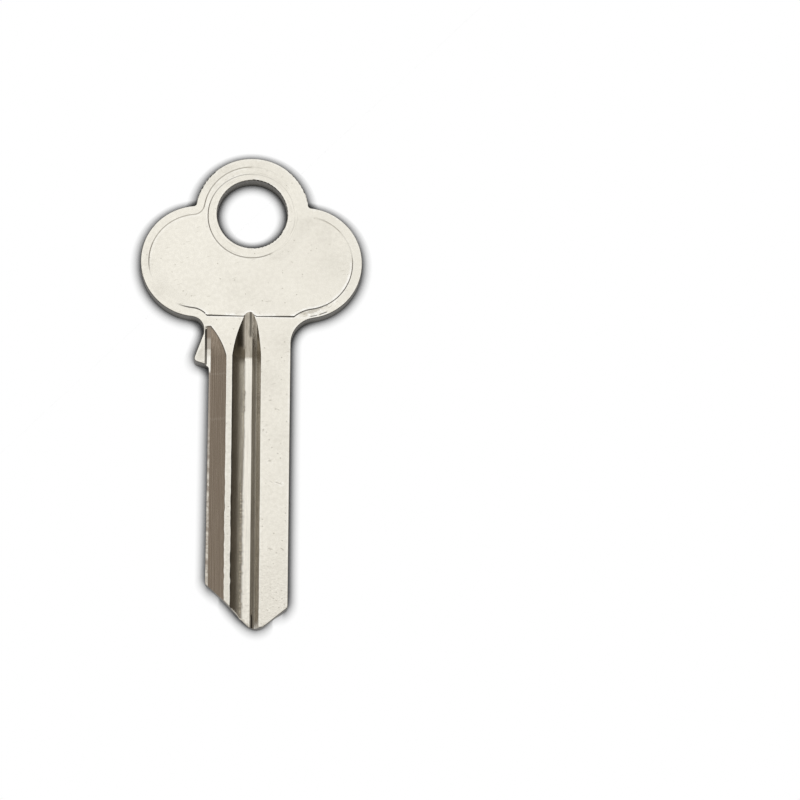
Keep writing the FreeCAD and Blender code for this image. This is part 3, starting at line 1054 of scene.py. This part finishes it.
def makeRingLines():
    # fine broken circles that a punch and a key ring leave around the hole, 0 to 1
    group, given, out = startGroup("ringLines", {"Inner": 3.9, "Outer": 5.3}, "Line")
    x, y, z = placeOnKey(group)
    radius = calc(group, "SQRT", calc(group, "ADD", times(group, x, x), times(group, y, y)))
    place = addNode(group, "ShaderNodeCombineXYZ")
    feed(group, place.inputs[0], times(group, radius, 9.0))
    feed(group, place.inputs[1], times(group, calc(group, "ARCTAN2", y, x), 1.7))
    noise = addNode(group, "ShaderNodeTexNoise", Scale=1.0, Detail=2.0, Roughness=0.6)
    feed(group, noise.inputs["Vector"], place.outputs[0])
    line = spread(group, noise.outputs[0], 0.53, 0.68)
    outward = spread(group, radius, given["Outer"], calc(group, "SUBTRACT", given["Outer"], 0.7))
    inward = spread(group, radius, given["Inner"], calc(group, "ADD", given["Inner"], 0.1))
    feed(group, out["Line"], times(group, line, outward, inward))
    return group


clouds = makeClouds()
toolLines, pits, scratch, ringLines = makeToolLines(), makePits(), makeScratch(), makeRingLines()


def startMaterial(name, color):
    material = bpy.data.materials.new(name)
    material.use_nodes = True
    material.diffuse_color = color
    tree = material.node_tree
    return material, tree, tree.nodes["Principled BSDF"]


def attribute(tree, name):
    return addNode(tree, "ShaderNodeAttribute", attribute_name=name).outputs["Fac"]


def finishMetal(tree, shader, color, unevenness, height, setup):
    # all four finishes are bare metal, and differ in colour, roughness and relief
    feed(tree, shader.inputs["Base Color"], color)
    shader.inputs["Metallic"].default_value = 1.0
    feed(tree, shader.inputs["Roughness"], spread(tree, unevenness, 0, 1, *setup["roughness"]))
    bump = addNode(tree, "ShaderNodeBump", Strength=1.0, Distance=setup["bumpDepth"] * millimetre)
    feed(tree, bump.inputs["Height"], height)
    feed(tree, shader.inputs["Normal"], bump.outputs[0])


# Plated faces: nickel over brass, pale and warm, handled and knocked about
plate = {
    "color": (0.865, 0.834, 0.750, 1),
    "colorDull": (0.80, 0.767, 0.685, 1),
    "colorPatch": (0.66, 0.63, 0.555, 1),
    # painted highlight: along the edges and the dented rim
    "colorPaintedHighlight": (1.0, 0.985, 0.94, 1),
    # painted shade: the stamped steps, the wall in the stop and the dark side of the dented rim
    "colorPaintedShade": (0.055, 0.048, 0.038, 1),
    "colorKnock": (0.42, 0.39, 0.33, 1),
    "broadSize": 5.0,
    "broadShare": 0.55,
    "fineSize": 0.42,
    "mottle": (0.08, 0.7),            # on whole metal and on battered metal
    "knocks": (0.015, 0.22),
    "grain": (0.03, 0.6),
    "ringLineShare": 0.75,
    "roughness": (0.16, 0.24),
    "bumpDepth": 0.016,
    "scratches": (      # x, y, turn in degrees, length, width, how strong, dark or bright; the dark and bright pairs on the lower right rim are painted shade and painted highlight of its dents
        (6.64, -11.08, 13, 1.10, 0.10, 0.75, "colorPaintedShade"), (6.72, -11.18, 13, 1.30, 0.10, 0.9, "colorPaintedHighlight"),
        (7.64, -10.77, 21, 1.10, 0.11, 0.85, "colorPaintedShade"), (7.79, -10.86, 21, 1.40, 0.11, 1.0, "colorPaintedHighlight"),
        (5.75, -11.10, 16, 0.60, 0.08, 0.45, "colorKnock"), (8.35, -10.05, 33, 0.60, 0.08, 0.5, "colorKnock"),
        (9.05, -9.50, 40, 0.50, 0.07, 0.4, "colorKnock"), (1.80, -9.55, 8, 0.80, 0.09, 0.35, "colorKnock"),
        (3.08, -29.13, -18, 0.90, 0.09, 0.5, "colorKnock"), (2.35, -29.0, -30, 0.5, 0.08, 0.35, "colorKnock"),
        (2.90, -21.25, -25, 0.60, 0.09, 0.4, "colorKnock"), (2.15, -20.3, 10, 0.40, 0.12, 0.4, "colorKnock"),
        (1.45, -23.5, 80, 0.40, 0.10, 0.4, "colorKnock"), (2.20, -26.8, 0, 0.35, 0.12, 0.45, "colorKnock"),
        (2.35, -36.1, -10, 0.60, 0.09, 0.45, "colorKnock"), (3.60, -36.1, -35, 0.50, 0.10, 0.6, "colorKnock"),
        (4.28, -5.21, -50, 0.35, 0.10, 0.35, "colorKnock"), (-6.88, -8.99, 60, 0.35, 0.1, 0.35, "colorKnock"),
    ),
}


def makePlate():
    material, tree, shader = startMaterial("nickelPlate", plate["color"])
    battered = attribute(tree, "battered")
    broad = useGroup(tree, clouds, Size=plate["broadSize"], Contrast=0.2)
    fine = useGroup(tree, clouds, Size=plate["fineSize"], Contrast=0.2)
    color = blend(tree, times(tree, broad, plate["broadShare"]), plate["color"], plate["colorDull"])
    patchy = times(tree, attribute(tree, "dull"), spread(tree, fine, 0.0, 1.0, 0.55, 1.0, soft=False))
    color = blend(tree, patchy, color, plate["colorPatch"])
    rings = times(tree, useGroup(tree, ringLines), plate["ringLineShare"])
    color = blend(tree, rings, color, plate["colorPatch"])
    mottle = times(tree, fine, spread(tree, battered, 0.0, 1.0, *plate["mottle"], soft=False))
    color = blend(tree, mottle, color, plate["colorDull"])
    share = spread(tree, battered, 0.1, 1.0, *plate["knocks"], soft=False)
    knocks = useGroup(tree, pits, Width=0.30, Length=0.24, Share=share, Reach=0.42)
    lines = useGroup(tree, pits, Width=0.11, Length=1.3, Share=0.05, Turn=1.25, Reach=0.3)
    marked = calc(tree, "MAXIMUM", times(tree, knocks, 0.5), times(tree, lines, 0.3))
    color = blend(tree, marked, color, plate["colorKnock"])
    # painted highlight along the edges
    highlighted = times(tree, attribute(tree, "highlight"), spread(tree, fine, 0.0, 1.0, 1.0, 0.6))
    color = blend(tree, highlighted, color, plate["colorPaintedHighlight"])
    # marks, with painted shade and painted highlight along the dented rim
    for x, y, turn, length, width, strength, kind in plate["scratches"]:
        mark = useGroup(tree, scratch, X=x, Y=y, Turn=math.radians(turn), Length=length, Width=width)
        color = blend(tree, times(tree, mark, strength), color, plate[kind])
    # painted shade in the stamped steps and on the wall in the stop
    color = blend(tree, attribute(tree, "seam"), color, plate["colorPaintedShade"])
    rough = useGroup(tree, clouds, Size=0.2, Contrast=0.35)
    height = times(tree, rough, spread(tree, battered, 0.1, 1.0, *plate["grain"], soft=False))
    height = calc(tree, "SUBTRACT", height, times(tree, marked, 1.2))
    finishMetal(tree, shader, color, fine, height, plate)
    return material


# Milled grooves: bright where the cutter's end ran, streaked on the flanks, and darker there partly as
# painted shade
groove = {
    "colorFloor": (0.88, 0.845, 0.762, 1),
    # the flanks are darker than the floor partly as painted shade
    "colorFlank": (0.50, 0.462, 0.40, 1),
    "colorFlankDark": (0.35, 0.322, 0.27, 1),
    "colorRidgeFlankShade": (0.22, 0.20328, 0.176, 1),     # painted shade on the flank toward the ridge
    "colorLowFlankShade": (0.20, 0.178, 0.145, 1),              # more painted shade on the same flank, further down the blade
    "colorDarkSideShade": (0.05, 0.045, 0.036, 1),
    # painted sheen
    "colorPaintedSheen": (0.90, 0.88, 0.82, 1),
    # painted shade over the run-out
    "colorRunOutShade": (0.52, 0.47, 0.385, 1),
    "streaks": (        # across, half width, from y, to y, how strong, colour; painted shade and painted highlight lines in the run-out, and the painted dark and bright sides of a burr near the point
        (-1.05, 0.50, -14.6, -10.5, 0.8, (0.045, 0.04, 0.032, 1)),
        (0.98, 0.38, -14.0, -10.5, 0.6, (0.09, 0.08, 0.066, 1)),
        (0.02, 0.19, -13.5, -10.5, 0.8, (0.10, 0.09, 0.072, 1)),
        (0.27, 0.13, -13.7, -10.5, 0.75, (0.74, 0.69, 0.60, 1)),
        (-0.55, 0.07, -14.5, -10.5, 0.5, (0.80, 0.77, 0.70, 1)),
        (0.40, 0.10, -45.0, -42.8, 0.9, (0.03, 0.027, 0.02, 1)),
        (0.26, 0.09, -45.0, -43.1, 0.7, (0.80, 0.78, 0.74, 1)),
    ),
    "flankTilt": (0.10, 0.42),        # sideways tilt at which a flank starts, and at which it is full
    "ridgeFlankTilt": (0.2, 0.5),
    "lowY": (-24, -33),
    "lowShare": 0.3,
    "runOutY": (-15.7, -15.3),
    "runOutShare": 0.5,
    "streakShares": (0.12, 0.5),      # along the blade and in the run-out
    "shadeX": (-0.6, -1.25),          # painted shade on the run-out's dark side
    "shadeY": (-16.6, -14.4),
    "shadeShare": 0.72,
    "roughness": (0.14, 0.26),
    "bumpDepth": 0.010,
}


def sideTilt(tree):
    # how far the metal leans sideways, from -1 to 1
    where = addNode(tree, "ShaderNodeTexCoord")
    parts = addNode(tree, "ShaderNodeSeparateXYZ")
    feed(tree, parts.inputs[0], where.outputs["Normal"])
    return parts.outputs["X"]


def makeGroove():
    material, tree, shader = startMaterial("milledGroove", groove["colorFloor"])
    x, y, z = placeOnKey(tree)
    across = squareX(tree, x, y)
    tilt = sideTilt(tree)
    lines = useGroup(tree, toolLines, Width=0.09, Length=6.0, Contrast=0.2)
    streak = useGroup(tree, toolLines, Width=0.22, Length=3.0, Contrast=0.2)

    # the flanks, darker than the floor partly as painted shade: the one toward the ridge has more painted
    # shade, most down the blade, and a painted sheen toward its foot
    toRight = spread(tree, tilt, *groove["ridgeFlankTilt"])
    flank = blend(tree, lines, groove["colorFlank"], groove["colorFlankDark"])
    flank = blend(tree, toRight, flank, groove["colorRidgeFlankShade"])
    low = spread(tree, y, *groove["lowY"])
    flank = blend(tree, times(tree, low, groove["lowShare"], toRight), flank, groove["colorLowFlankShade"])
    # painted sheen toward the flank's foot
    sheen = times(tree, attribute(tree, "sheen"), spread(tree, streak, 0, 1, 1.0, 0.75))
    sheen = times(tree, sheen, spread(tree, low, 0.0, 1.0, 1.0, 0.8))
    flank = blend(tree, sheen, flank, groove["colorPaintedSheen"])
    leaning = spread(tree, calc(tree, "ABSOLUTE", tilt), *groove["flankTilt"])
    color = blend(tree, leaning, groove["colorFloor"], flank)

    # the run-out, with painted shade over it and on its dark side, and painted shade and highlight lines
    runOut = spread(tree, y, *groove["runOutY"])
    color = blend(tree, times(tree, runOut, groove["runOutShare"]), color, groove["colorRunOutShade"])
    weight = spread(tree, runOut, 0.0, 1.0, *groove["streakShares"])
    color = blend(tree, times(tree, streak, weight), color, groove["colorFlankDark"])
    shade = spread(tree, across, *groove["shadeX"], 0.0, groove["shadeShare"])
    shade = times(tree, shade, spread(tree, y, *groove["shadeY"]))
    color = blend(tree, shade, color, groove["colorDarkSideShade"])
    for at, halfWidth, low, high, amount, streakColor in groove["streaks"]:
        band = spread(tree, apart(tree, across, at), halfWidth, 0.3 * halfWidth, 0.0, amount)
        ends = times(tree, spread(tree, y, low, low + 0.4), spread(tree, y, high, high - 0.15))
        color = blend(tree, times(tree, band, ends), color, streakColor)

    rough = useGroup(tree, clouds, Size=0.35, Contrast=0.3)
    battered = attribute(tree, "battered")
    height = calc(tree, "ADD", times(tree, lines, 0.35), times(tree, rough, battered))
    finishMetal(tree, shader, color, lines, height, groove)
    return material


# Wide cut along the bitting edge: the brass shows brown through fine lengthwise lines, darkened partly as
# painted shade, with painted glints
wideCut = {
    # brown of the brass, darkened partly as painted shade
    "color": (0.45, 0.385, 0.315, 1),
    "colorDark": (0.345, 0.285, 0.225, 1),
    "colorBright": (0.80, 0.76, 0.68, 1),
    "colorStrip": (0.96, 0.935, 0.86, 1),
    "colorCap": (0.16, 0.15, 0.13, 1),
    "colorLine": (0.045, 0.04, 0.032, 1),
    "colorEdge": (0.36, 0.31, 0.26, 1),
    "bands": ((-17.46, 0.16), (-22.3, 0.22)),         # y and half width of two cross marks
    "bandShare": 0.14,
    "capY": (-12.9, -12.45),          # the dark upper end
    "capShare": 0.8,
    "flatTilt": (0.12, 0.03),         # the strip beside the bitting edge is the part that lies flat
    "stripLevels": ((-13.45, -13.85, 0.4), (-14.65, -14.9, 0.6)),     # it brightens in two steps, from y to y
    "stripEndY": (-17.4, -17.0),
    "patchY": (-19, -30),             # below that it is bright in patches
    "patchShare": 0.75,
    "outlineZ": (2.02, 2.085),        # dark outline of the upper end
    "outlineY": (-16.0, -15.2),
    "outlineShare": 0.8,
    "lineX": (-4.53, -4.60),          # dark line at the foot of the wall in the stop
    "lineY": (-16.5, -16.3),
    "lineShare": 0.9,
    "roughness": (0.20, 0.32),
    "bumpDepth": 0.006,
}


def makeWideCut():
    material, tree, shader = startMaterial("wideCutBrass", wideCut["color"])
    x, y, z = placeOnKey(tree)
    lines = useGroup(tree, toolLines, Width=0.11, Length=9.0, Contrast=0.22)
    fine = useGroup(tree, toolLines, Width=0.05, Length=1.6, Contrast=0.3)
    color = blend(tree, lines, wideCut["color"], wideCut["colorDark"])
    # fine bright streaks: painted glints
    color = blend(tree, spread(tree, fine, 0.86, 1.0, 0.0, 0.35), color, wideCut["colorBright"])
    for bandY, halfWidth in wideCut["bands"]:
        band = spread(tree, apart(tree, y, bandY), halfWidth, 0.0, 0.0, wideCut["bandShare"])
        color = blend(tree, band, color, wideCut["colorBright"])
    cap = spread(tree, y, *wideCut["capY"], 0.0, wideCut["capShare"])
    color = blend(tree, cap, color, wideCut["colorCap"])

    # the strip beside the bitting edge
    flat = spread(tree, calc(tree, "ABSOLUTE", sideTilt(tree)), *wideCut["flatTilt"])
    patch = useGroup(tree, clouds, Size=0.7, Contrast=0.12)
    patch = times(tree, patch, spread(tree, y, *wideCut["patchY"], 0.0, wideCut["patchShare"]), flat)
    color = blend(tree, flat, color, wideCut["colorEdge"])
    color = blend(tree, patch, color, wideCut["colorBright"])
    first, second = (spread(tree, y, start, end, 0.0, level) for start, end, level in wideCut["stripLevels"])
    strip = times(tree, spread(tree, y, *wideCut["stripEndY"]), calc(tree, "ADD", first, second), flat)
    color = blend(tree, strip, color, wideCut["colorStrip"])

    # dark lines around the upper end and along the stop
    outline = spread(tree, z, *wideCut["outlineZ"], 0.0, wideCut["outlineShare"])
    outline = times(tree, outline, spread(tree, y, *wideCut["outlineY"]))
    color = blend(tree, outline, color, wideCut["colorCap"])
    line = spread(tree, squareX(tree, x, y), *wideCut["lineX"], 0.0, wideCut["lineShare"])
    line = times(tree, line, spread(tree, y, *wideCut["lineY"]))
    color = blend(tree, line, color, wideCut["colorLine"])
    finishMetal(tree, shader, color, lines, lines, wideCut)
    return material


# Sheared sides: coarse, with a smoother band under the face; their dark colour is painted shade, darkest in a
# painted dark line just under the face
sheared = {
    # dark as painted shade
    "color": (0.19, 0.181, 0.163, 1),
    "colorDark": (0.125, 0.117, 0.104, 1),
    "colorSmooth": (0.145, 0.138, 0.126, 1),
    "colorEdge": (0.075, 0.071, 0.064, 1),
    "smoothZ": (1.3, 1.75),           # height at which the smooth band starts, and at which it is full
    "smoothStray": 0.5,
    "edgeZ": (1.9, 2.0),
    "roughness": (0.36, 0.55),
    "bumpDepth": 0.02,
}


def makeSheared():
    material, tree, shader = startMaterial("shearedSideShade", sheared["color"])
    x, y, z = placeOnKey(tree)
    grain = useGroup(tree, clouds, Size=0.16, Contrast=0.35)
    broad = useGroup(tree, clouds, Size=1.6, Contrast=0.2)
    stray = times(tree, calc(tree, "SUBTRACT", broad, 0.5), sheared["smoothStray"])
    band = spread(tree, calc(tree, "ADD", z, stray), *sheared["smoothZ"])
    color = blend(tree, times(tree, grain, 0.6), sheared["color"], sheared["colorDark"])
    color = blend(tree, times(tree, band, 0.8), color, sheared["colorSmooth"])
    # painted dark line just under the face
    color = blend(tree, spread(tree, z, *sheared["edgeZ"], 0.0, 0.8), color, sheared["colorEdge"])
    coarse = times(tree, grain, spread(tree, band, 0.0, 1.0, 1.0, 0.25))
    finishMetal(tree, shader, color, grain, coarse, sheared)
    return material


key = makeKey(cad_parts["key_blank"], meshSetup)
print("key mesh made,", len(key.data.vertices), "points,", len(key.data.polygons), "triangles")
